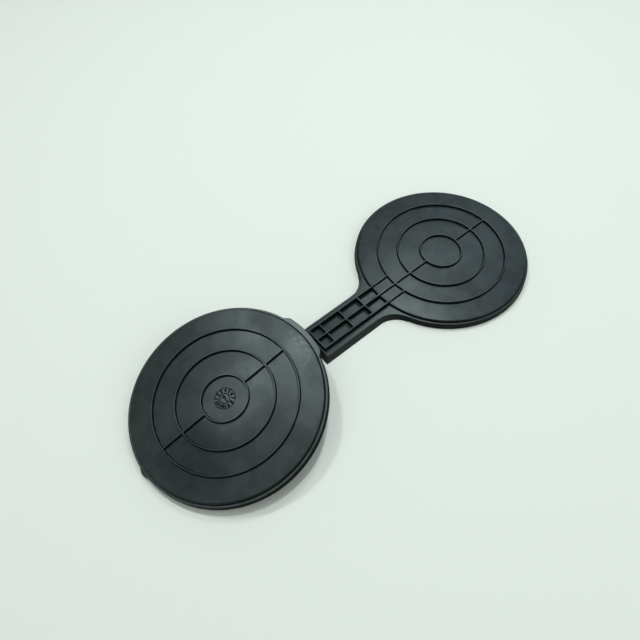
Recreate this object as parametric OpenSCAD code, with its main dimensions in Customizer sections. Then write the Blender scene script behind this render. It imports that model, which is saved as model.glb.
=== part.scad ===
// Two-disc paddle: a flat grip paddle and a flap disc hinged on the end of its handle.
// X runs along the handle towards the grip disc, Z is up, and the origin lies under the
// middle of the handle on the plane that the grip paddle rests on.

/* [Discs] */
// Radius of both discs at the foot of the rim
disc_r = 95.5; // [85:0.5:105]
// Inward lean of the rim from its foot to the ledge
rim_draft = 0.8; // [0.4:0.1:1.4]
// Height of the rim ledge and of the handle border
rim_z = 7.4; // [6.8:0.1:8.6]
// Width of the ledge between the rim edge and the face plate
ledge_w = 2; // [1.6:0.1:3]
// Height of the face above the ledge
face_rise = 2.5; // [1.6:0.1:3.4]
// Thickness of the face plate
face_t = 3.2; // [2.8:0.1:3.6]
// Width of the rounded shoulder of the face plate
shoulder_w = 1.9; // [0.8:0.1:3]
// Width of the shelf that carries the face plate
shelf_w = 2.2; // [1.5:0.1:4]
// Thickness of the tray floor
floor_t = 2.4; // [2:0.1:2.8]
// Radius of the outer edge rounding
edge_r = 0.6; // [0.3:0.1:0.9]
// Bevel along the foot of the rim
foot_bevel = 0.5; // [0.3:0.1:0.9]

/* [Ribs] */
// Radius of the inner ring rib
ring1_r = 22.4; // [18:0.2:28]
// Radius of the middle ring rib
ring2_r = 47.5; // [40:0.5:54]
// Radius of the outer ring rib
ring3_r = 69.6; // [62:0.2:76]
// Width of every rib at its top
rib_w = 1.2; // [0.8:0.1:2]
// Spread of the ribs on the face at their foot, on each side
rib_spread = 0.7; // [0.3:0.1:1]
// Height of the ribs above the face
rib_h = 2.7; // [1.2:0.1:3.4]
// Distance between the long ribs of the handle
rib_pitch = 12.95; // [10:0.05:14]
// Distance between the cross ribs of the handle
cross_pitch = 25.5; // [22:0.5:27]
// Number of full-pitch cross ribs
cross_n = 3; // [2:1:3]
// Depth of the handle pockets below the border
pocket_drop = 0.8; // [0.4:0.1:1.4]

/* [Handle] */
// Length of the handle from the rim of the disc to its end
grip_len = 84.5; // [80:0.5:110]
// Width of the handle across its border
grip_w = 40.2; // [36:0.2:48]
// Width of the handle across its foot
grip_base_w = 46.8; // [44:0.2:54]
// Outward lean of the handle end at its foot
end_draft = 3.5; // [1:0.5:5]
// Width of the border strip at the handle end
end_strip = 2.4; // [2:0.2:5]
// Radius of the fillet between handle and disc
flare_r = 27; // [20:1:36]
// Thickness of the plate under the handle ribs
panel_t = 2.4; // [1.6:0.1:3]
// Length of the web that joins the handle panel to the face plate
web_len = 7; // [5:0.5:9]

/* [Hinge] */
// Radius of the hinge pin
pin_r = 2.5; // [2:0.1:3]
// Distance of the pin beyond the handle end
pin_out = 15.5; // [14:0.5:24]
// Height of the pin above the resting plane
pin_z = 23.85; // [21:0.05:28]
// Distance of the pin inside the rim of the flap
pin_inset = 7.5; // [7:0.1:9]
// Distance of the pin below the underside of the flap
pin_drop = 6.3; // [6.2:0.1:8]
// Radius of the knuckle and of the lug eyes
knuckle_r = 5.5; // [4.6:0.1:5.6]
// Width of the knuckle
knuckle_w = 14; // [10:0.5:20]
// Thickness of each flap lug
lug_t = 5; // [4:0.5:8]
// Thickness of the hinge post
post_t = 9; // [7:0.5:9.5]
// Height of the foot that joins the post to the handle
foot_h = 6; // [4:0.5:6.5]
// Reach of the heel that stops the flap, behind the pin
heel_len = 12; // [9:0.5:16]
// Radius of the pin caps
cap_r = 4.4; // [3.6:0.1:5]
// Thickness of the pin caps
cap_t = 2.4; // [2:0.1:3]
// Depth of the pin's end in its cap
cap_depth = 1.4; // [1:0.1:1.6]

/* [Flap] */
// Length of the ear along its edge, on the hinge side of the flap
ear_len = 46; // [30:1:60]
// Reach of the ear beyond the rim
ear_out = 2.3; // [1.6:0.1:3.6]
// Thickness of the ear
ear_t = 3; // [2:0.2:4]
// Length of each sloping end of the ear
ear_ramp = 7; // [4:0.5:12]
// Radius of the round nub on the far side of the rim
nub_r = 12; // [8:0.5:16]
// Offset of the nub from the middle line
nub_y = -2.5; // [-5:0.5:5]
// Reach of the nub beyond the rim
nub_out = 1.7; // [1:0.1:3]
// Height of the nub above the underside
nub_z = 1; // [0.8:0.1:3]
// Height of the nub itself
nub_h = 3.4; // [2.5:0.1:4]
// Radius of the moulded dial
dial_r = 10.4; // [8:0.2:14]
// Relief of the moulded dial
dial_h = 0.35; // [0.2:0.05:0.5]
// Width of the lines of the dial
dial_line = 0.6; // [0.4:0.1:1]
// Radius of the dial's inner ring
dial_hub_r = 5; // [3.5:0.1:6]
// Length of the dial's marks
dial_mark_len = 1.2; // [0.6:0.1:1.6]
// Number of marks round the dial
dial_marks = 12; // [4:1:16]

/* [Fasteners] */
// Number of screws in each disc
screw_n = 6; // [4:1:8]
// Radius of the circle of screws
screw_ring_r = 58.5; // [52:0.5:64]
// Radius of the screw shank
screw_r = 1.7; // [1.4:0.1:2]
// Radius of the screw head
screw_head_r = 3.3; // [2.8:0.1:3.6]
// Height of the countersunk head
screw_head_h = 1.5; // [1.2:0.1:1.6]
// Depth of the screw heads below the underside
head_sink = 0.3; // [0.2:0.1:0.5]
// Depth of the screws in the face plate
screw_bite = 1.6; // [1:0.1:2]
// Length of the cross recess in a screw head
recess_len = 3.6; // [2.4:0.1:4.4]
// Width of the cross recess
recess_w = 0.7; // [0.5:0.1:1]
// Depth of the cross recess
recess_d = 0.9; // [0.5:0.1:1.1]
// Radius of the screw bosses
boss_r = 4; // [3.4:0.1:5]

/* [Clearances] */
// Gap between a face plate and its rim
seat_gap = 0.15; // [0.1:0.05:0.3]
// Gap between the soft core and its neighbours
core_gap = 0.15; // [0.1:0.05:0.4]
// Running gap of the pin in the knuckle
run_gap = 0.06; // [0.02:0.01:0.1]
// Gap of the pin in the lugs and caps
press_gap = 0.01; // [0.01:0.01:0.03]
// Side gap between knuckle and lugs
side_gap = 0.4; // [0.3:0.1:0.8]
// Gap round the screws in the tray
screw_gap = 0.15; // [0.1:0.05:0.3]
// Gap round the screws in the face plate
thread_gap = 0.05; // [0.02:0.01:0.1]
// Gap between the heel and the resting flap
stop_gap = 0.3; // [0.2:0.05:0.5]

/* [Hidden] */
$fn = 96;
bite = 0.4;
far = 400;

// Heights shared by both discs
face_z = rim_z + face_rise;
rib_z = face_z + rib_h;
shelf_z = face_z - face_t;
pocket_z = rim_z - pocket_drop;
panel_z = pocket_z - panel_t;

// Radii shared by both discs
ledge_r = disc_r - rim_draft;
seat_r = ledge_r - ledge_w;
face_r = seat_r - seat_gap;
cavity_r = seat_r - shelf_w;

// Handle, measured from the origin under its middle
end_x = -grip_len / 2;
grip_x = grip_len / 2 + disc_r;
panel_half = rib_pitch + rib_w / 2;
panel_end_x = end_x + end_strip;
cross_first_x = panel_end_x + rib_w / 2 + cross_pitch / 2;
web_x = grip_x - face_r;

// Fillets between handle and disc, leaning like the handle side
side_lean = atan((grip_base_w - grip_w) / 2 / rim_z);
flare_y = grip_w / 2 + flare_r / cos(side_lean);
flare_ny = flare_y / (ledge_r + flare_r);
flare_reach = flare_r * sqrt(1 - pow(flare_ny, 2) + pow(flare_ny / cos(side_lean), 2));
flare_dx = sqrt(pow(ledge_r + flare_reach, 2) - pow(flare_y, 2));

// Hinge and the droop that lays the far rim of the flap on the resting plane
pin_x = end_x - pin_out;
flap_pin_x = disc_r - pin_inset;
droop = asin(pin_z / norm([flap_pin_x + disc_r - foot_bevel, pin_drop]))
    + atan(pin_drop / (flap_pin_x + disc_r - foot_bevel));
flap_x = pin_x - flap_pin_x * cos(droop) - pin_drop * sin(droop);
flap_z = pin_z - flap_pin_x * sin(droop) + pin_drop * cos(droop);
heel_z = pin_z + (pin_drop - stop_gap) * cos(droop)
    - (heel_len - (pin_drop - stop_gap) * sin(droop)) * tan(droop);
lug_y = knuckle_w / 2 + side_gap;
cap_y = lug_y + lug_t;
pin_half = cap_y + cap_depth;
screw_top = shelf_z + screw_bite;

module at_grip() translate([grip_x, 0, 0]) children();

module at_flap() translate([flap_x, 0, flap_z]) rotate([0, -droop, 0]) children();

module both_sides() {
    children();
    mirror([0, 1, 0]) children();
}

module screw_spots() {
    for (i = [0 : screw_n - 1])
        rotate(360 / screw_n * (i + 0.5)) translate([screw_ring_r, 0, 0]) children();
}

// Solid disc with a leaning rim and a rounded upper edge
module disc_solid() {
    rounding = [for (a = [0 : 22.5 : 90])
        [ledge_r - edge_r + edge_r * cos(a), rim_z - edge_r + edge_r * sin(a)]];
    rotate_extrude() polygon(concat(
        [[0, 0], [disc_r - foot_bevel, 0], [disc_r, foot_bevel]], rounding, [[0, rim_z]]));
}

// Hollow of a disc: the well for the core and the seat of the face plate
module disc_well() {
    rotate_extrude() polygon([[0, floor_t], [cavity_r, floor_t], [cavity_r, shelf_z],
        [seat_r, shelf_z], [seat_r, rim_z + bite], [0, rim_z + bite]]);
}

module tray_screw_holes() {
    screw_spots() {
        translate([0, 0, -bite]) cylinder(r = screw_head_r + screw_gap, h = head_sink + bite);
        translate([0, 0, head_sink]) cylinder(
            r1 = screw_head_r + screw_gap, r2 = screw_r + screw_gap, h = screw_head_h);
        translate([0, 0, head_sink]) cylinder(r = screw_r + screw_gap, h = floor_t + bite);
    }
}

// Section of a rib on the face: a thin crest on a spread foot, sunk a little into the plate
module rib_section() {
    top = rib_w / 2;
    foot = top + rib_spread;
    polygon([[-foot, face_z - bite], [foot, face_z - bite], [foot, face_z],
        [top, rib_z], [-top, rib_z], [-foot, face_z]]);
}

module ring_rib(r) rotate_extrude() translate([r, 0]) rib_section();

// Straight rib on the face along X from x0 to x1
module face_rib(x0, x1, y)
    translate([x0, y, 0]) rotate([90, 0, 90]) linear_extrude(x1 - x0) rib_section();

// Round plate with its shoulder, the ring ribs, the radial ribs and the screw bosses below
module face_plate() {
    shoulder = [for (a = [0 : 18 : 90])
        [face_r - shoulder_w + shoulder_w * cos(a), rim_z + face_rise * sin(a)]];
    difference() {
        union() {
            rotate_extrude() polygon(concat([[0, shelf_z], [face_r, shelf_z]], shoulder, [[0, face_z]]));
            for (r = [ring1_r, ring2_r, ring3_r]) ring_rib(r);
            for (a = [0, 180])
                rotate(a) face_rib(ring1_r, ring3_r, 0);
            screw_spots() translate([0, 0, floor_t]) cylinder(r = boss_r, h = shelf_z - floor_t + bite);
        }
        screw_spots() translate([0, 0, floor_t - bite])
            cylinder(r = screw_r + thread_gap, h = screw_top - floor_t + 2 * bite);
    }
}

module soft_disc() {
    translate([0, 0, floor_t + core_gap]) difference() {
        cylinder(r = cavity_r - core_gap, h = shelf_z - floor_t - 2 * core_gap);
        screw_spots() translate([0, 0, -bite]) cylinder(r = boss_r + core_gap, h = shelf_z);
    }
}

module screw_set() {
    screw_spots() difference() {
        union() {
            translate([0, 0, head_sink]) cylinder(r1 = screw_head_r, r2 = screw_r, h = screw_head_h);
            translate([0, 0, head_sink + screw_head_h - bite])
                cylinder(r = screw_r, h = screw_top - head_sink - screw_head_h + bite);
        }
        for (a = [0, 90])
            rotate(a) translate([-recess_len / 2, -recess_w / 2, head_sink - bite])
                cube([recess_len, recess_w, recess_d + bite]);
    }
}

// Handle block with leaning sides and a leaning end
module handle_block() {
    len = grip_x - cavity_r + shelf_w - end_x + end_draft;
    top = grip_w / 2;
    rounding = [for (a = [90 : -22.5 : 0])
        [top - edge_r + edge_r * cos(a), rim_z - edge_r + edge_r * sin(a)]];
    half = concat([[0, rim_z]], rounding, [[grip_base_w / 2, 0], [0, 0]]);
    difference() {
        translate([end_x - end_draft, 0, 0]) both_sides()
            rotate([90, 0, 90]) linear_extrude(len) polygon(half);
        rotate([90, 0, 0]) linear_extrude(grip_base_w + 2 * bite, center = true)
            polygon([[end_x - end_draft - bite, 0], [end_x - end_draft, 0],
                [end_x, rim_z], [end_x, rim_z + bite], [end_x - end_draft - bite, rim_z + bite]]);
    }
}

// Fillet block on one side of the handle, cut by a leaning cylinder
module flare() {
    cx = grip_x - flare_dx;
    reach = norm([flare_dx, flare_y]);
    touch = [grip_x - flare_dx * (ledge_r - edge_r) / reach, flare_y * (ledge_r - edge_r) / reach];
    difference() {
        linear_extrude(rim_z) polygon([[cx, 0], [cx, flare_y], touch, [grip_x - cavity_r, 0]]);
        translate([cx, flare_y, rim_z]) rotate([side_lean, 0, 0])
            cylinder(r = flare_r, h = far, center = true);
    }
}

// Foot, post and knuckle that carry the flap, and the heel that it comes to rest on
module hinge_post() {
    translate([pin_x - heel_len, -knuckle_w / 2, 0]) cube([heel_len, knuckle_w, heel_z]);
    translate([pin_x - post_t / 2, -knuckle_w / 2, 0])
        cube([end_x + end_strip - pin_x + post_t / 2, knuckle_w, foot_h]);
    translate([pin_x - post_t / 2, -knuckle_w / 2, 0]) cube([post_t, knuckle_w, pin_z]);
    translate([pin_x, 0, pin_z]) rotate([90, 0, 0])
        cylinder(r = knuckle_r, h = knuckle_w, center = true);
}

// Recess of the handle for the ribbed panel, open into the well of the disc
module handle_recess() {
    translate([panel_end_x - seat_gap, -panel_half - seat_gap, panel_z])
        cube([web_x + web_len - panel_end_x + 2 * seat_gap, 2 * (panel_half + seat_gap), rim_z]);
}

module grip_tray() {
    color([0.21, 0.23, 0.23]) difference() {
        union() {
            at_grip() disc_solid();
            handle_block();
            both_sides() flare();
            hinge_post();
        }
        at_grip() disc_well();
        at_grip() tray_screw_holes();
        handle_recess();
        translate([pin_x, 0, pin_z]) rotate([90, 0, 0])
            cylinder(r = pin_r + run_gap, h = knuckle_w + 2 * bite, center = true);
    }
}

// Plate of the handle with its long and cross ribs, joined to the face by a web
module handle_panel() {
    panel_len = web_x + web_len - panel_end_x;
    translate([panel_end_x, -panel_half, panel_z]) cube([panel_len, 2 * panel_half, panel_t]);
    translate([web_x, -panel_half, panel_z]) cube([web_len, 2 * panel_half, shelf_z - panel_z + bite]);
    for (y = [-rib_pitch, 0, rib_pitch]) {
        translate([panel_end_x, y - rib_w / 2, pocket_z - bite])
            cube([panel_len, rib_w, rib_z - pocket_z + bite]);
        face_rib(web_x + web_len - bite, grip_x - sqrt(pow(ring3_r, 2) - pow(y, 2)), y);
    }
    for (x = concat([panel_end_x + rib_w / 2],
                    [for (i = [0 : cross_n - 1]) cross_first_x + i * cross_pitch]))
        translate([x - rib_w / 2, -panel_half, pocket_z - bite])
            cube([rib_w, 2 * panel_half, rib_z - pocket_z + bite]);
}

module grip_face() {
    color([0.23, 0.25, 0.25]) {
        at_grip() face_plate();
        handle_panel();
    }
}

module grip_core() {
    color([0.55, 0.56, 0.55]) difference() {
        at_grip() soft_disc();
        translate([grip_x - disc_r, -panel_half - core_gap, 0])
            cube([disc_r - face_r + web_len + seat_gap + core_gap, 2 * (panel_half + core_gap), face_z]);
    }
}

module grip_screws() {
    color([0.7, 0.71, 0.72]) at_grip() screw_set();
}

// Ear along the hinge side of the rim, with sloping ends
module ear() {
    outer_r = disc_r + ear_out;
    half = ear_len / 2;
    root = [sqrt(pow(seat_r, 2) - pow(half + ear_ramp, 2)), half + ear_ramp];
    tip_x = sqrt(pow(outer_r, 2) - pow(half, 2));
    past_x = outer_r + bite;
    past_half = half - (past_x - tip_x) * ear_ramp / (tip_x - root.x);
    translate([0, 0, rim_z - ear_t]) intersection() {
        cylinder(r = outer_r, h = ear_t);
        both_sides() linear_extrude(ear_t)
            polygon([[root.x, 0], root, [past_x, past_half], [past_x, 0]]);
    }
}

module lug() {
    translate([flap_pin_x, lug_y, 0]) {
        translate([0, 0, -pin_drop]) rotate([-90, 0, 0]) cylinder(r = knuckle_r, h = lug_t);
        translate([-knuckle_r, 0, -pin_drop]) cube([2 * knuckle_r, lug_t, pin_drop + floor_t / 2]);
    }
}

module flap_tray() {
    color([0.19, 0.21, 0.21]) at_flap() difference() {
        union() {
            disc_solid();
            ear();
            translate([nub_r - disc_r - nub_out, nub_y, nub_z]) cylinder(r = nub_r, h = nub_h);
            both_sides() lug();
        }
        disc_well();
        tray_screw_holes();
        translate([flap_pin_x, 0, -pin_drop]) rotate([90, 0, 0])
            cylinder(r = pin_r + press_gap, h = 2 * (cap_y + bite), center = true);
    }
}

// Raised rings, with plain marks that point inwards from the outer one
module dial() {
    translate([0, 0, face_z - bite]) {
        for (r = [dial_r, dial_hub_r]) difference() {
            cylinder(r = r, h = bite + dial_h);
            translate([0, 0, -bite]) cylinder(r = r - dial_line, h = dial_h + 3 * bite);
        }
        for (i = [0 : dial_marks - 1])
            rotate(360 / dial_marks * (i + 0.5))
                translate([dial_r - dial_line - dial_mark_len, -dial_line / 2, 0])
                    cube([dial_mark_len + dial_line / 2, dial_line, bite + dial_h]);
    }
}

module flap_face() {
    color([0.21, 0.23, 0.23]) at_flap() {
        face_plate();
        dial();
    }
}

module flap_core() {
    color([0.55, 0.56, 0.55]) at_flap() soft_disc();
}

module flap_screws() {
    color([0.7, 0.71, 0.72]) at_flap() screw_set();
}

module hinge_pin() {
    color([0.62, 0.63, 0.64]) translate([pin_x, 0, pin_z]) rotate([90, 0, 0])
        cylinder(r = pin_r, h = 2 * pin_half, center = true);
}

module hinge_caps() {
    color([0.16, 0.17, 0.17]) translate([pin_x, 0, pin_z]) both_sides() difference() {
        translate([0, cap_y, 0]) rotate([-90, 0, 0]) cylinder(r = cap_r, h = cap_t);
        rotate([-90, 0, 0]) cylinder(r = pin_r + press_gap, h = pin_half + press_gap);
    }
}

grip_tray();
grip_face();
grip_core();
grip_screws();
flap_tray();
flap_face();
flap_core();
flap_screws();
hinge_pin();
hinge_caps();
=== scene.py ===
import math

import bmesh
import bpy
import numpy as np
from mathutils import Matrix, Vector


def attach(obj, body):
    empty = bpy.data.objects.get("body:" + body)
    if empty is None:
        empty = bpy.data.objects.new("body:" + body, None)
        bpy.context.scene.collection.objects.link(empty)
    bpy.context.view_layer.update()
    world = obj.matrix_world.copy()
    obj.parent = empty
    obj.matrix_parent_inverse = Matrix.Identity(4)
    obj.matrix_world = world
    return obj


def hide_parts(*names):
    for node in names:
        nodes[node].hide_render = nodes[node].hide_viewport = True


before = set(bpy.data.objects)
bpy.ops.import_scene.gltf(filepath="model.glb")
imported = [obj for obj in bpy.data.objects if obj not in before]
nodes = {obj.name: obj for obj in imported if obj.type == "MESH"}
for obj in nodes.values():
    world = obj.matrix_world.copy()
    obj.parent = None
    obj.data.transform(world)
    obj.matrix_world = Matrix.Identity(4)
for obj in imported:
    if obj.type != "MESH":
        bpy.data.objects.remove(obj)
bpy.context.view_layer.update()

mm = 0.001
print("frame loaded:", len(nodes), "nodes")


def meshPoints(nodeName):
    return np.array([v.co for v in nodes[nodeName].data.vertices])


# How a face's points are sorted: lengths in millimetres, the rim as a share of the radius
probe = {"clear": 5, "rimShare": 0.95, "crestDepth": 0.02, "radialHalf": 3, "wallGap": 0.3}


# A disc's own frame, read from its solids: axis, plate level, tilt and ring ribs
def discFrame(coreName, faceName, outward):
    core = meshPoints(coreName)
    normal = np.linalg.svd(core - core.mean(0), full_matrices=False)[2][2]
    normal = normal * np.sign(normal[2])
    turn = math.atan2(normal[0], normal[2])
    spin = np.array(Matrix.Rotation(turn, 3, "Y"))
    face = meshPoints(faceName) @ spin
    radius = np.ptp(face[:, 1]) / 2
    axisX = outward * ((outward * face[:, 0]).max() - radius)
    reach = np.hypot(face[:, 0] - axisX, face[:, 1])
    free = outward * (face[:, 0] - axisX) > probe["clear"] * mm  # the half away from the handle
    plate = face[free & (reach > probe["rimShare"] * radius), 2].max()
    top = face[free, 2].max()
    offRadial = np.abs(face[:, 1]) > probe["radialHalf"] * mm
    tops = np.sort(reach[free & offRadial & (face[:, 2] > top - probe["crestDepth"] * mm)])
    gaps = np.where(np.diff(tops) > probe["wallGap"] * mm)[0] + 1
    walls = [group.mean() for group in np.split(tops, gaps)]
    rings = [(inner + outer) / 2 for inner, outer in zip(walls[::2], walls[1::2])]
    return {"centre": Vector(spin @ (axisX, 0, plate)), "turn": turn, "spin": spin,
            "radius": radius, "ribTop": top - plate, "rings": rings}


discs = {
    "grip": discFrame("grip_core", "grip_face", 1),
    "flap": discFrame("flap_core", "flap_face", -1),
}
for name, disc in discs.items():
    print(name, "disc turned", round(math.degrees(disc["turn"]), 2), "degrees, rings",
          [round(r / mm, 1) for r in disc["rings"]])


class Wire:  # one shader socket, so that masks and mixes read as sums
    def __init__(self, tree, socket=None):
        self.tree = tree
        self.socket = socket

    def add(self, kind, settings=None, inputs=None, out=0):
        node = self.tree.nodes.new("ShaderNode" + kind)
        for key, value in (settings or {}).items():
            setattr(node, key, value)
        for key, value in (inputs or {}).items():
            if isinstance(value, Wire):
                self.tree.links.new(value.socket, node.inputs[key])
            else:
                node.inputs[key].default_value = value
        return Wire(self.tree, node.outputs[out] if node.outputs else None)

    def math(self, operation, *values):
        return self.add("Math", {"operation": operation}, dict(enumerate(values)))

    def vector(self, operation, *values, out=0):
        return self.add("VectorMath", {"operation": operation}, dict(enumerate(values)), out)

    def __add__(self, other):
        return self.math("ADD", self, other)

    def __sub__(self, other):
        return self.math("SUBTRACT", self, other)

    def __rsub__(self, other):
        return self.math("SUBTRACT", other, self)

    def __mul__(self, other):
        return self.math("MULTIPLY", self, other)

    def __abs__(self):
        return self.math("ABSOLUTE", self)

    __radd__ = __add__
    __rmul__ = __mul__


def newMaterial(name):
    material = bpy.data.materials.new(name)
    material.use_nodes = True
    material.node_tree.nodes.clear()
    return material, Wire(material.node_tree)


# Millimetres in a disc's own frame, from the middle of its plate
def discPlace(start, disc):
    return start.add("Mapping", {"vector_type": "TEXTURE"}, {
        "Vector": start.add("TexCoord", out=3), "Location": disc["centre"],
        "Rotation": (0, disc["turn"], 0), "Scale": (mm, mm, mm)})


# 1 on what lies level with the plate, above or below, 0 on what leans more than the low limit
def levelFacing(start, disc, low, high):
    normal = start.add("TexCoord", out=1)
    upright = Vector((math.sin(disc["turn"]), 0, math.cos(disc["turn"])))
    return rise(abs(normal.vector("DOT_PRODUCT", normal, upright, out=1)), low, high)


def axis(place, index):
    return place.add("SeparateXYZ", None, {"Vector": place}, index)


def flat(place):
    return place.vector("MULTIPLY", place, (1, 1, 0))


def length(place):
    return place.vector("LENGTH", place, out=1)


def rise(value, low, high):  # 0 below low, 1 above high
    return value.add("MapRange", {"interpolation_type": "SMOOTHSTEP"},
                     {"Value": value, "From Min": low, "From Max": high})


def near(value, middle, half, soft):  # 1 within half of the middle
    return 1 - rise(abs(value - middle), half, half + soft)


def noise(place, size, detail=2.0, rough=0.5, warp=0.0):
    return place.add("TexNoise", None, {
        "Vector": place, "Scale": 1 / size, "Detail": detail, "Roughness": rough, "Distortion": warp})


def stretched(place, turn, sizes):
    return place.add("Mapping", {"vector_type": "TEXTURE"}, {
        "Vector": place, "Rotation": (0, 0, math.radians(turn)), "Scale": sizes})


def hairlines(place, turn, long, fine, width):  # level lines of a drawn-out noise
    drawn = noise(stretched(place, turn, (long, fine, long)), 1, 1)
    return near(drawn, 0.5, 0, width)


def toLine(place, a, b):  # distance to a straight mark
    a, b = Vector((*a, 0)), Vector((*b, 0))
    along = b - a
    offset = place.vector("SUBTRACT", flat(place), a)
    share = offset.vector("DOT_PRODUCT", offset, along / along.length_squared, out=1)
    share = share.add("Clamp", None, {"Value": share})
    foot = share.add("VectorMath", {"operation": "SCALE"}, {0: along, "Scale": share})
    return length(offset.vector("SUBTRACT", offset, foot))


def specks(place, cell, size, share):
    spots = {"Vector": place, "Scale": 1 / cell}
    reach = place.add("TexVoronoi", {"voronoi_dimensions": "2D"}, spots)
    chance = axis(place.add("TexVoronoi", {"voronoi_dimensions": "2D"}, spots, 1), 0)
    return (1 - rise(reach, size / cell * 0.6, size / cell)) * rise(chance, 1 - share, 1 - share + 0.02)


def tint(factor, below, above):
    return factor.add("Mix", {"data_type": "RGBA"}, {
        "Factor": factor,
        6: below if isinstance(below, Wire) else (*below, 1),
        7: above if isinstance(above, Wire) else (*above, 1)}, 2)


def finish(start, colour, rough, height, more=None):  # height in millimetres
    bump = start.add("Bump", None, {"Strength": 1.0, "Distance": mm, "Height": height})
    surface = start.add("BsdfPrincipled", None, {
        "Base Color": colour, "Roughness": rough, "Normal": bump, **(more or {})})
    start.add("OutputMaterial", None, {"Surface": surface})


# Black moulded plastic: nearly matt on the walls, satin on what lies level; lengths in millimetres
plastic = {
    # the pale worn tone is rubbed wear, and on level rib crests and rim ledges also a painted highlight
    "colour": (0.0045, 0.0062, 0.0064), "wearAndHighlight": (0.025, 0.029, 0.029),
    "dust": (0.11, 0.118, 0.11), "whitened": (0.125, 0.123, 0.110),
    "grain": 0.55, "grainDepth": 0.008, "satin": 0.74,
    "gloss": {"IOR": 1.49, "Specular IOR Level": 0.03, "Coat Roughness": 0.31, "Coat IOR": 1.5},
}


# Weight of the satin coat: walls have a share of it, level surfaces have all
def satinCoat(satin, wallGloss):
    return (satin * (1 - wallGloss) + wallGloss) * plastic["satin"]


def grain(place):
    return noise(place, plastic["grain"], 2) * plastic["grainDepth"]


# Marks on the plates, in millimetres from the middle of each disc
faceMarks = {
    "grip": {
        "scores": [((11.8, -76.4), (12.4, -85.6)), ((10.6, -79.0), (11.0, -80.6))],
        "scuffs": [], "haze": None, "witness": None, "dial": None,
        "sheens": [((38, 0), (55, 62), 0.16), ((-31, -43), (36, 36), -0.14)],
        "specks": [(36.0, 52.0), (-8.0, 61.0), (58.0, -30.0)],
    },
    "flap": {
        "scores": [],
        "scuffs": [((87.1, -20.7), (80.3, -24.4)), ((80.3, -24.4), (72.8, -26.0))],
        "haze": {"middle": (84.5, -6.0), "half": (8.5, 20.0), "turn": 4}, "witness": 43.8, "dial": 10.8,
        "sheens": [((6, -8), (40, 38), 0.55), ((80, 30), (22, 42), -0.45), ((64, -4), (14, 26), -0.15),
                   ((-52, -27), (32, 42), -0.28), ((56, -62), (26, 30), 0.2)],
        "specks": [(-45.0, -51.2), (-43.0, -53.0), (-64.4, 26.7), (-52.0, 40.0)],
    },
}


# Plates and ribs: clouds, wiped streaks, hairlines, dust and marks
faceLook = {
    "rough": 0.46, "wallGloss": 0.15, "satinFrom": 0.50, "satinTo": 0.85,
    "plateHalf": 0.25, "plateSoft": 0.2, "crestFrom": 0.35, "crestTo": 0.05,
    "cloud": {"size": 46, "detail": 4, "rough": 0.55, "warp": 0.4},
    "wipe": {"size": 1, "detail": 3, "rough": 0.6, "warp": 1.2},
    "wipeTurn": 32, "wipeSizes": (40, 12, 40),
    "smudge": {"size": 24, "detail": 2, "rough": 0.5, "warp": 0.9},
    "hairs": [{"turn": 12, "long": 46, "fine": 1.7, "width": 0.010},
              {"turn": -48, "long": 38, "fine": 2.1, "width": 0.008}],
    "hairPatch": 21, "hairDepth": 0.006,
    "dots": {"cell": 9, "size": 0.42, "share": 0.22},
    "rootHalf": 0.7, "rootSoft": 1.3, "rootPatch": 5,
    "wave": 34, "waveDepth": 0.9,
    "cutDepth": 0.25, "rubPatch": 2.4, "rubDepth": 0.03,
    "ragged": {"size": 11, "detail": 4, "rough": 0.65},
    "streaks": {"size": 4.5, "detail": 3, "rough": 0.6, "warp": 0.5},
    "veilWave": 5, "veilDepth": 0.06,
    "lineFrom": 0.08, "lineTo": 0.2, "dialSoft": 0.5,
    "witnessHalf": 0.05, "witnessSoft": 0.25, "witnessHeight": 0.03,
}


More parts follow.
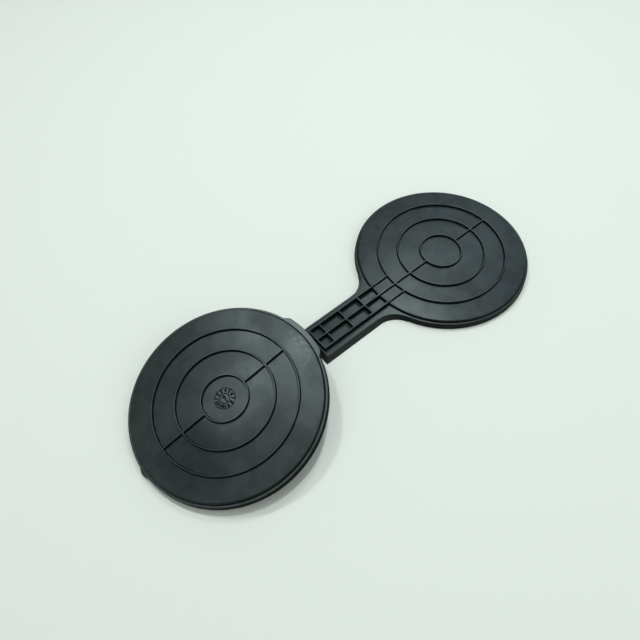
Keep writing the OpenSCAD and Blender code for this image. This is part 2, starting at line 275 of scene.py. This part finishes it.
def facePlastic(name, disc, marks):
    material, start = newMaterial(name)
    look = faceLook
    place = discPlace(start, disc)
    radius = length(flat(place))
    level = axis(place, 2)
    top = disc["ribTop"] / mm
    satin = levelFacing(start, disc, look["satinFrom"], look["satinTo"])
    onPlate = near(level, 0, look["plateHalf"], look["plateSoft"])
    crest = rise(level, top - look["crestFrom"], top - look["crestTo"])

    cloud = noise(place, **look["cloud"])
    wipe = noise(stretched(place, look["wipeTurn"], look["wipeSizes"]), **look["wipe"])
    smudge = rise(noise(place, **look["smudge"]), 0.40, 0.60)
    hair = sum(hairlines(place, **lines) for lines in look["hairs"])
    hair = hair * rise(noise(place, look["hairPatch"], 1), 0.56, 0.66) * onPlate
    dots = specks(place, **look["dots"]) * onPlate
    roots = [near(radius, ring / mm, look["rootHalf"], look["rootSoft"]) for ring in disc["rings"]]
    rootDust = roots[0]
    for root in roots[1:]:
        rootDust = root.math("MAXIMUM", rootDust, root)
    rootDust = rootDust * onPlate * rise(noise(place, look["rootPatch"], 3), 0.50, 0.75)

    # level rib crests painted lighter: part rubbed wear, part painted highlight where the crests catch
    # the lamps
    colour = tint(crest * satin * (0.4 + 0.6 * cloud), plastic["colour"], plastic["wearAndHighlight"])
    colour = tint(rootDust * 0.10 + hair * 0.10 + dots * 0.35, colour, plastic["dust"])
    rough = look["rough"] + (cloud - 0.5) * 0.10 + (wipe - 0.5) * 0.10 + crest * 0.03 + hair * 0.08
    blotch = 0.9 + smudge * 0.2 + (cloud - 0.5) * 0.25 + (wipe - 0.5) * 0.15 - hair * 0.2
    coat = satinCoat(satin, look["wallGloss"]) * blotch
    height = grain(place) + noise(place, look["wave"], 1) * look["waveDepth"] - hair * look["hairDepth"]

    for a, b in marks["scores"]:  # cuts that look dark
        cut = 1 - rise(toLine(place, a, b), 0.12, 0.45)
        height = height - cut * onPlate * look["cutDepth"]
    for a, b in marks["scuffs"]:  # rubbed lines that look pale
        broken = rise(noise(place, look["rubPatch"], 2), 0.35, 0.6)
        rub = (1 - rise(toLine(place, a, b), 0.10, 0.40)) * onPlate * broken
        colour = tint(rub * 0.55, colour, plastic["dust"])
        height = height - rub * look["rubDepth"]
    for middle, half, gain in marks["sheens"]:  # smoother or duller moulding
        offset = place.vector("SUBTRACT", place, (*middle, 0))
        spot = length(flat(offset.vector("DIVIDE", offset, (*half, 1))))
        coat = coat * (1 + (1 - rise(spot + (cloud - 0.5) * 0.8, 0.45, 1.15)) * gain)
    for x, y in marks["specks"]:  # single grains of dust
        spot = 1 - rise(length(flat(place.vector("SUBTRACT", place, (x, y, 0)))), 0.25, 0.6)
        colour = tint(spot * onPlate * 0.7, colour, plastic["dust"])
    if marks["haze"]:  # stress-whitened by the hinge
        patch = marks["haze"]
        spot = place.add("Mapping", {"vector_type": "TEXTURE"}, {
            "Vector": flat(place), "Location": (*patch["middle"], 0),
            "Rotation": (0, 0, math.radians(patch["turn"])), "Scale": (*patch["half"], 1)})
        ragged = length(spot) + (noise(place, **look["ragged"]) - 0.5) * 1.5
        veil = (1 - rise(ragged, 0.25, 1.15)) * (1 - crest)
        streaks = rise(noise(place, **look["streaks"]), 0.40, 0.70)
        colour = tint(veil * (0.06 + 0.60 * streaks), colour, plastic["whitened"])
        rough = rough + veil * 0.07
        height = height + veil * noise(place, look["veilWave"], 2) * look["veilDepth"]
    if marks["dial"]:  # bright ground, matt raised lines
        inside = 1 - rise(radius, marks["dial"], marks["dial"] + look["dialSoft"])
        raisedLine = rise(level, look["lineFrom"], look["lineTo"])
        coat = coat * (1 + inside * (0.3 - 1.3 * raisedLine))
        rough = rough + inside * raisedLine * 0.3
    if marks["witness"]:  # fine circle left by an insert of the mould
        circle = near(radius, marks["witness"], look["witnessHalf"], look["witnessSoft"])
        height = height + circle * onPlate * look["witnessHeight"]
    finish(start, colour, rough, height, {**plastic["gloss"], "Coat Weight": coat})
    return material


# Trays: the same plastic, with turning marks and ejector marks on the underside
trayLook = {
    "rough": 0.48, "specular": 0.005, "satinFrom": 0.20, "satinTo": 0.60,
    "wallGloss": {"grip_tray": 0.24, "flap_tray": 0.06},
    # how far the rim ledges are lightened: part wear, part painted highlight on the ledge
    "rimWearAndHighlight": {"grip_tray": 0.15, "flap_tray": 0.8}, "wearAndHighlight": (0.046, 0.052, 0.051),
    "rimReach": 3, "footShare": 0.7,
    "cloud": {"size": 40, "detail": 4, "rough": 0.55, "warp": 0.3},
    "drag": {"turn": 3, "long": 70, "fine": 2.6, "width": 0.012}, "dragPatch": 30,
    "dots": {"cell": 10, "size": 0.5, "share": 0.2},
    "edgePatch": 9, "footPatch": 6, "wave": 36, "waveDepth": 0.2,
    "turning": 1.7, "turningDepth": 0.006,
    "ejectorRing": 74, "ejectorCount": 8, "ejectorRadius": 3.2, "ejectorSoft": 0.25,
    "ejectorDepth": 0.12,
}


# Round marks of the ejector pins, evenly spaced on a circle
def ejectorMarks(place, radius):
    look = trayLook
    step = 2 * math.pi / look["ejectorCount"]
    angle = radius.math("ARCTAN2", axis(place, 1), axis(place, 0))
    angle = angle.math("FLOORED_MODULO", angle, step) - step / 2
    across = radius * angle.math("SINE", angle)
    along = radius * angle.math("COSINE", angle) - look["ejectorRing"]
    reach = length(place.add("CombineXYZ", None, {0: across, 1: along}))
    return 1 - rise(reach, look["ejectorRadius"], look["ejectorRadius"] + look["ejectorSoft"])


def trayPlastic(name, disc, trayName):
    material, start = newMaterial(name)
    look = trayLook
    place = discPlace(start, disc)
    radius = length(flat(place))
    level = axis(place, 2)
    axisX, plateZ = (np.array(disc["centre"]) @ disc["spin"])[[0, 2]]
    solid = meshPoints(trayName) @ disc["spin"]
    reach = np.hypot(solid[:, 0] - axisX, solid[:, 1])
    onRim = np.abs(reach - disc["radius"]) < look["rimReach"] * mm
    rimLevel = (solid[onRim, 2].max() - plateZ) / mm
    footLevel = (solid[reach < look["footShare"] * disc["radius"], 2].min() - plateZ) / mm

    cloud = noise(place, **look["cloud"])
    under = 1 - rise(level, footLevel + 0.02, footLevel + 0.12)
    edge = 0.5 + 0.5 * rise(noise(place, look["edgePatch"], 3), 0.35, 0.62)
    edge = near(level, rimLevel, 0.25, 0.35) * edge
    foot = rise(noise(place, look["footPatch"], 3), 0.45, 0.65)
    foot = near(level, footLevel, 0.3, 0.7) * foot * (1 - under)
    drag = hairlines(place, **look["drag"])
    drag = drag * rise(noise(place, look["dragPatch"], 1), 0.52, 0.62) * under
    dots = specks(place, **look["dots"]) * (1 - under)

    satin = levelFacing(start, disc, look["satinFrom"], look["satinTo"])
    colour = tint(foot * 0.5, plastic["colour"], plastic["wearAndHighlight"])
    # level rim ledge painted lighter: part wear, part painted highlight of the lamps on the rounded
    # ledge
    colour = tint(edge * satin * look["rimWearAndHighlight"][trayName], colour, look["wearAndHighlight"])
    colour = tint(drag * 0.20 + dots * 0.22, colour, plastic["dust"])
    rough = look["rough"] + (cloud - 0.5) * 0.12 + drag * 0.06 + foot * 0.05
    phase = radius * (2 * math.pi / look["turning"])
    height = grain(place) + noise(place, look["wave"], 1) * look["waveDepth"]
    height = height + phase.math("SINE", phase) * under * look["turningDepth"]
    height = height + ejectorMarks(place, radius) * under * look["ejectorDepth"]
    coat = satinCoat(satin, look["wallGloss"][trayName]) * (0.8 + 0.4 * cloud)
    finish(start, colour, rough, height, {
        **plastic["gloss"], "Specular IOR Level": look["specular"], "Coat Weight": coat})
    return material


# Caps, dial numbers and pointer: the same plastic without the satin
mattLook = {"rough": 0.6, "specular": 0.03, "cloud": 6, "rub": 2.2, "grain": 0.5, "grainDepth": 0.012}


def mattPlastic(name):
    material, start = newMaterial(name)
    look = mattLook
    place = discPlace(start, discs["grip"])
    rough = look["rough"] + (noise(place, look["cloud"], 3) - 0.5) * 0.12
    rubbed = rise(noise(place, look["rub"], 3), 0.55, 0.75)
    colour = tint(rubbed * 0.15, plastic["colour"], plastic["wearAndHighlight"])
    height = noise(place, look["grain"], 2) * look["grainDepth"]
    finish(start, colour, rough, height, {"Specular IOR Level": look["specular"]})
    return material


# Plated screws and the ground hinge pin; line is the size of the tool marks
steel = {
    "screw": {"colour": (0.46, 0.47, 0.48), "stain": (0.22, 0.22, 0.21), "rough": 0.34,
              "line": (1.2, 0.12, 1.2)},
    "pin": {"colour": (0.56, 0.57, 0.58), "stain": (0.33, 0.33, 0.32), "rough": 0.24,
            "line": (0.10, 3.0, 3.0)},
}


def steelFinish(name, look):
    material, start = newMaterial(name)
    place = discPlace(start, discs["grip"])
    lines = noise(stretched(place, 0, look["line"]), 1, 2)
    stain = rise(noise(place, 1.6, 4, 0.6), 0.52, 0.72)
    colour = tint(stain * 0.5, look["colour"], look["stain"])
    rough = look["rough"] + (lines - 0.5) * 0.16 + stain * 0.12
    finish(start, colour, rough, lines * 0.004, {"Metallic": 1.0})
    return material


foamLook = {"colour": (0.15, 0.16, 0.16), "cell": (0.07, 0.075, 0.075), "size": 0.9, "rough": 0.88,
            "cloud": 18, "cellDepth": 0.12}


def foamFinish(name):
    material, start = newMaterial(name)
    place = discPlace(start, discs["grip"])
    cells = place.add("TexVoronoi", None, {"Vector": place, "Scale": 1 / foamLook["size"]})
    cloud = noise(place, foamLook["cloud"], 3)
    # the sunken pits of the cells are painted darker: painted shade in the pits
    colour = tint(rise(cells, 0.25, 0.7) * (0.4 + 0.4 * cloud), foamLook["colour"], foamLook["cell"])
    rough = foamLook["rough"] + (cloud - 0.5) * 0.1
    finish(start, colour, rough, cells * -foamLook["cellDepth"])
    return material


finishes = {
    "grip_face": facePlastic("gripFacePlastic", discs["grip"], faceMarks["grip"]),
    "flap_face": facePlastic("flapFacePlastic", discs["flap"], faceMarks["flap"]),
    "grip_tray": trayPlastic("gripTrayPlastic", discs["grip"], "grip_tray"),
    "flap_tray": trayPlastic("flapTrayPlastic", discs["flap"], "flap_tray"),
    "hinge_caps": mattPlastic("mattPlastic"),
    "grip_screws": steelFinish("screwSteel", steel["screw"]),
    "hinge_pin": steelFinish("pinSteel", steel["pin"]),
}
finishes["flap_screws"] = finishes["grip_screws"]
for name, material in finishes.items():
    nodes[name].data.materials.clear()
    nodes[name].data.materials.append(material)
foamMaterial = foamFinish("coreFoam")
print("materials done:", len(finishes) + 1)

# Real mouldings have no knife edges: widths of their rounding in millimetres
edgeRounds = {"grip_tray": 0.30, "flap_tray": 0.30, "grip_face": 0.22, "flap_face": 0.22,
              "hinge_caps": 0.3}
edgeLook = {"weld": 0.004, "segments": 3, "leastBend": 24}


def softenEdges(node, width):
    weld = node.modifiers.new("weld", "WELD")
    weld.merge_threshold = edgeLook["weld"] * mm
    bevel = node.modifiers.new("bevel", "BEVEL")
    bevel.width = width * mm
    bevel.segments = edgeLook["segments"]
    bevel.limit_method = "ANGLE"
    bevel.angle_limit = math.radians(edgeLook["leastBend"])
    bevel.harden_normals = True
    bevel.miter_outer = "MITER_ARC"
    bevel.use_clamp_overlap = False
    even = node.modifiers.new("even", "WEIGHTED_NORMAL")
    even.keep_sharp = False


for name, width in edgeRounds.items():
    softenEdges(nodes[name], width)
print("edges softened:", len(edgeRounds))


def discMatrix(disc):
    return Matrix.Translation(disc["centre"]) @ Matrix.Rotation(disc["turn"], 4, "Y")


# The mesh of a curve or text, put in its place
def curveMesh(curve, placing):
    helper = bpy.data.objects.new("helper", curve)
    bpy.context.scene.collection.objects.link(helper)
    bpy.context.view_layer.update()
    shape = helper.evaluated_get(bpy.context.evaluated_depsgraph_get())
    mesh = bpy.data.meshes.new_from_object(shape)
    mesh.transform(placing)
    bpy.data.objects.remove(helper)
    return mesh


mergeGap = 0.002 * mm


def placePiece(name, meshes, material, body):
    shape = bmesh.new()
    for mesh in meshes:
        shape.from_mesh(mesh)
        bpy.data.meshes.remove(mesh)
    bmesh.ops.remove_doubles(shape, verts=shape.verts, dist=mergeGap)
    bmesh.ops.recalc_face_normals(shape, faces=shape.faces)
    joined = bpy.data.meshes.new(name)
    shape.to_mesh(joined)
    shape.free()
    joined.materials.clear()
    joined.materials.append(material)
    piece = bpy.data.objects.new(name, joined)
    bpy.context.scene.collection.objects.link(piece)
    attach(piece, body)
    return piece


def outline(curve, points):
    line = curve.splines.new("POLY")
    line.points.add(len(points) - 1)
    for point, (x, y) in zip(line.points, points):
        point.co = (x, y, 0, 1)
    line.use_cyclic_u = True


# Raised plain numbers round the dial, and a plain pointer
dial = {
    "count": 12, "firstAngle": 142, "numberRing": 7.4, "numberHeight": 3.0, "capShare": 0.72,
    "bold": 0.13, "relief": 0.55, "sink": 0.05, "round": 0.05,
    "pointer": [(-0.5, -4.1), (0.5, -4.1), (0.5, 1.0), (1.6, 1.0), (0, 3.9), (-1.6, 1.0), (-0.5, 1.0)],
}


def raised(curve):
    curve.dimensions = "2D"
    curve.fill_mode = "BOTH"
    curve.extrude = ((dial["relief"] + dial["sink"]) / 2 - dial["round"]) * mm
    curve.bevel_depth = dial["round"] * mm
    curve.bevel_resolution = 1
    return curve


def dialPlacing():
    lift = Matrix.Translation((0, 0, (dial["relief"] - dial["sink"]) / 2 * mm))
    return discMatrix(discs["flap"]) @ lift


def dialNumber(number):
    text = raised(bpy.data.curves.new("number", "FONT"))
    text.body = str(number)
    text.align_x = "CENTER"
    text.align_y = "CENTER"
    text.size = dial["numberHeight"] * mm / dial["capShare"]
    text.offset = dial["bold"] * mm
    text.resolution_u = 4
    angle = math.radians(dial["firstAngle"] - 360 / dial["count"] * (number - 1))
    spot = Matrix.Rotation(angle, 4, "Z") @ Matrix.Translation((dial["numberRing"] * mm, 0, 0))
    return curveMesh(text, dialPlacing() @ spot @ Matrix.Rotation(-math.pi / 2, 4, "Z"))


def dialPointer():
    curve = raised(bpy.data.curves.new("pointer", "CURVE"))
    outline(curve, [(x * mm, y * mm) for x, y in dial["pointer"]])
    return curveMesh(curve, dialPlacing())


numbers = [dialNumber(number) for number in range(1, dial["count"] + 1)]
placePiece("dial_numbers", numbers, finishes["hinge_caps"], "flap")
placePiece("dial_pointer", [dialPointer()], finishes["hinge_caps"], "flap")
print("dial numbers and pointer done")

# Foam cores: cut discs with rounded edges and holes for the screw bosses
foamCut = {"edge": 0.5, "inset": 0.25, "arcStep": 4, "notchShare": 0.8, "screwSector": 60}


def arc(centre, radius, start, end):
    count = math.ceil(abs(end - start) / foamCut["arcStep"])
    turns = [math.radians(start + (end - start) * i / count) for i in range(count)]
    return [(centre[0] + radius * math.cos(t), centre[1] + radius * math.sin(t)) for t in turns]


def foamCore(name, coreName, screwsName, disc, body):
    home = np.array(discMatrix(disc).inverted())
    core = meshPoints(coreName) @ home[:3, :3].T + home[:3, 3]
    screws = meshPoints(screwsName) @ home[:3, :3].T + home[:3, 3]
    reach = np.hypot(core[:, 0], core[:, 1])
    inset = foamCut["inset"] * mm
    radius = reach.max() - inset
    curve = bpy.data.curves.new(name, "CURVE")
    curve.dimensions = "2D"
    curve.fill_mode = "BOTH"
    notch = core[(core[:, 0] < -foamCut["notchShare"] * radius) & (reach < radius - inset), :2]
    if len(notch):  # room for the web of the handle
        x, y = notch[:, 0].max() + inset, np.abs(notch[:, 1]).max() + inset
        lip = math.degrees(math.asin(y / radius))
        outline(curve, arc((0, 0), radius, lip - 180, 180 - lip) + [
            (-math.sqrt(radius ** 2 - y ** 2), y), (x, y), (x, -y)])
    else:
        outline(curve, arc((0, 0), radius, 0, 360))
    bearings = np.degrees(np.arctan2(screws[:, 1], screws[:, 0]))
    sector = np.floor(bearings / foamCut["screwSector"])
    for group in np.unique(sector):
        screw = screws[sector == group, :2]
        middle = (screw.min(0) + screw.max(0)) / 2
        hole = np.hypot(core[:, 0] - middle[0], core[:, 1] - middle[1]).min()
        outline(curve, arc(middle, hole + inset, 360, 0))
    low, high = core[:, 2].min(), core[:, 2].max()
    curve.bevel_depth = foamCut["edge"] * mm
    curve.bevel_resolution = 2
    curve.offset = -foamCut["edge"] * mm
    curve.extrude = (high - low) / 2 - foamCut["edge"] * mm
    placing = discMatrix(disc) @ Matrix.Translation((0, 0, (low + high) / 2))
    piece = placePiece(name, [curveMesh(curve, placing)], foamMaterial, body)
    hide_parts(coreName)


foamCore("grip_foam", "grip_core", "grip_screws", discs["grip"], "grip")
foamCore("flap_foam", "flap_core", "flap_screws", discs["flap"], "flap")
print("foam cores done")

# Floor and light
floorLook = {"half": 1.8, "colour": (0.93, 0.845, 0.78), "rough": 0.55, "specular": 0.2}


def makeFloor(look):
    mesh = bpy.data.meshes.new("floor")
    h = look["half"]
    mesh.from_pydata([(-h, -h, 0), (h, -h, 0), (h, h, 0), (-h, h, 0)], [], [(0, 1, 2, 3)])
    floor = bpy.data.objects.new("floor", mesh)
    bpy.context.scene.collection.objects.link(floor)
    material, start = newMaterial("paleBoard")
    surface = start.add("BsdfPrincipled", None, {
        "Base Color": (*look["colour"], 1), "Roughness": look["rough"],
        "Specular IOR Level": look["specular"]})
    start.add("OutputMaterial", None, {"Surface": surface})
    mesh.materials.append(material)


makeFloor(floorLook)

# Ceiling panels and windows: bearing and height in degrees, as seen from the object
lampColour = (0.82, 1.0, 1.0)
dayColour = (0.72, 0.96, 1.12)
lamps = {
    "firstPanel": {"bearing": 34, "height": 78, "size": 0.18, "radiance": 121},
    "secondPanel": {"bearing": 97, "height": 62, "size": 0.18, "radiance": 80},
    "thirdPanel": {"bearing": 34, "height": 57, "size": 0.18, "radiance": 59},
    "rightWindow": {"bearing": 12, "height": 50, "size": 1.0, "radiance": 0.75, "colour": dayColour},
    "farWindow": {"bearing": 29, "height": 36, "size": 1.0, "radiance": 0.6, "colour": dayColour},
    "backWindow": {"bearing": 150, "height": 65, "size": 1.6, "radiance": 1.05},
    "nearFill": {"bearing": 300, "height": 40, "size": 1.6, "radiance": 1.4},
}
lampDistance = 2.2


def makeLamp(name, look):
    light = bpy.data.lights.new(name, "AREA")
    light.shape = "SQUARE"
    light.size = look["size"]
    light.color = look.get("colour", lampColour)
    light.energy = look["radiance"] * math.pi * look["size"] ** 2
    lamp = bpy.data.objects.new(name, light)
    bearing, height = math.radians(look["bearing"]), math.radians(look["height"])
    level = math.cos(height)
    side = Vector((math.cos(bearing) * level, math.sin(bearing) * level, math.sin(height)))
    lamp.location = side * lampDistance
    lamp.rotation_euler = (-side).to_track_quat("-Z", "Y").to_euler()
    lamp.visible_camera = False
    bpy.context.scene.collection.objects.link(lamp)


for name, look in lamps.items():
    makeLamp(name, look)

# Pale walls low down, a dim ceiling above them
worldLook = {
    "walls": {"colour": (0.88, 1.0, 0.95), "strength": 0.75},
    "ceiling": {"colour": lampColour, "strength": 0.115},
    "from": 0.2, "to": 0.45,
}


def glow(start, look):
    return start.add("Background", None, {"Color": (*look["colour"], 1), "Strength": look["strength"]})


def makeWorld(look):
    world = bpy.data.worlds.new("room")
    world.use_nodes = True
    world.node_tree.nodes.clear()
    start = Wire(world.node_tree)
    upward = axis(start.add("TexCoord"), 2)
    room = start.add("MixShader", None, {
        0: rise(upward, look["from"], look["to"]),
        1: glow(start, look["walls"]), 2: glow(start, look["ceiling"])})
    start.add("OutputWorld", None, {"Surface": room})
    bpy.context.scene.world = world


makeWorld(worldLook)

# Camera, matched to the ring ribs of both discs; places in millimetres
view = {"place": (-191.36, -213.23, 461.96), "aim": (-17.93, 22.09, 0.0), "roll": -3.439,
        "focalPixels": 520, "imagePixels": 640, "sensor": 36, "clipStart": 0.01}


def makeCamera(look):
    camera = bpy.data.cameras.new("camera")
    camera.sensor_width = look["sensor"]
    camera.lens = camera.sensor_width * look["focalPixels"] / look["imagePixels"]
    camera.clip_start = look["clipStart"]
    eye = bpy.data.objects.new("camera", camera)
    eye.location = Vector(look["place"]) * mm
    sight = Vector(look["aim"]) * mm - eye.location
    roll = Matrix.Rotation(math.radians(look["roll"]), 3, "Z")
    eye.rotation_euler = (sight.to_track_quat("-Z", "Y").to_matrix() @ roll).to_euler()
    bpy.context.scene.collection.objects.link(eye)
    bpy.context.scene.camera = eye


makeCamera(view)
bpy.context.scene.view_settings.view_transform = "Standard"
print("floor, lamps and camera done")
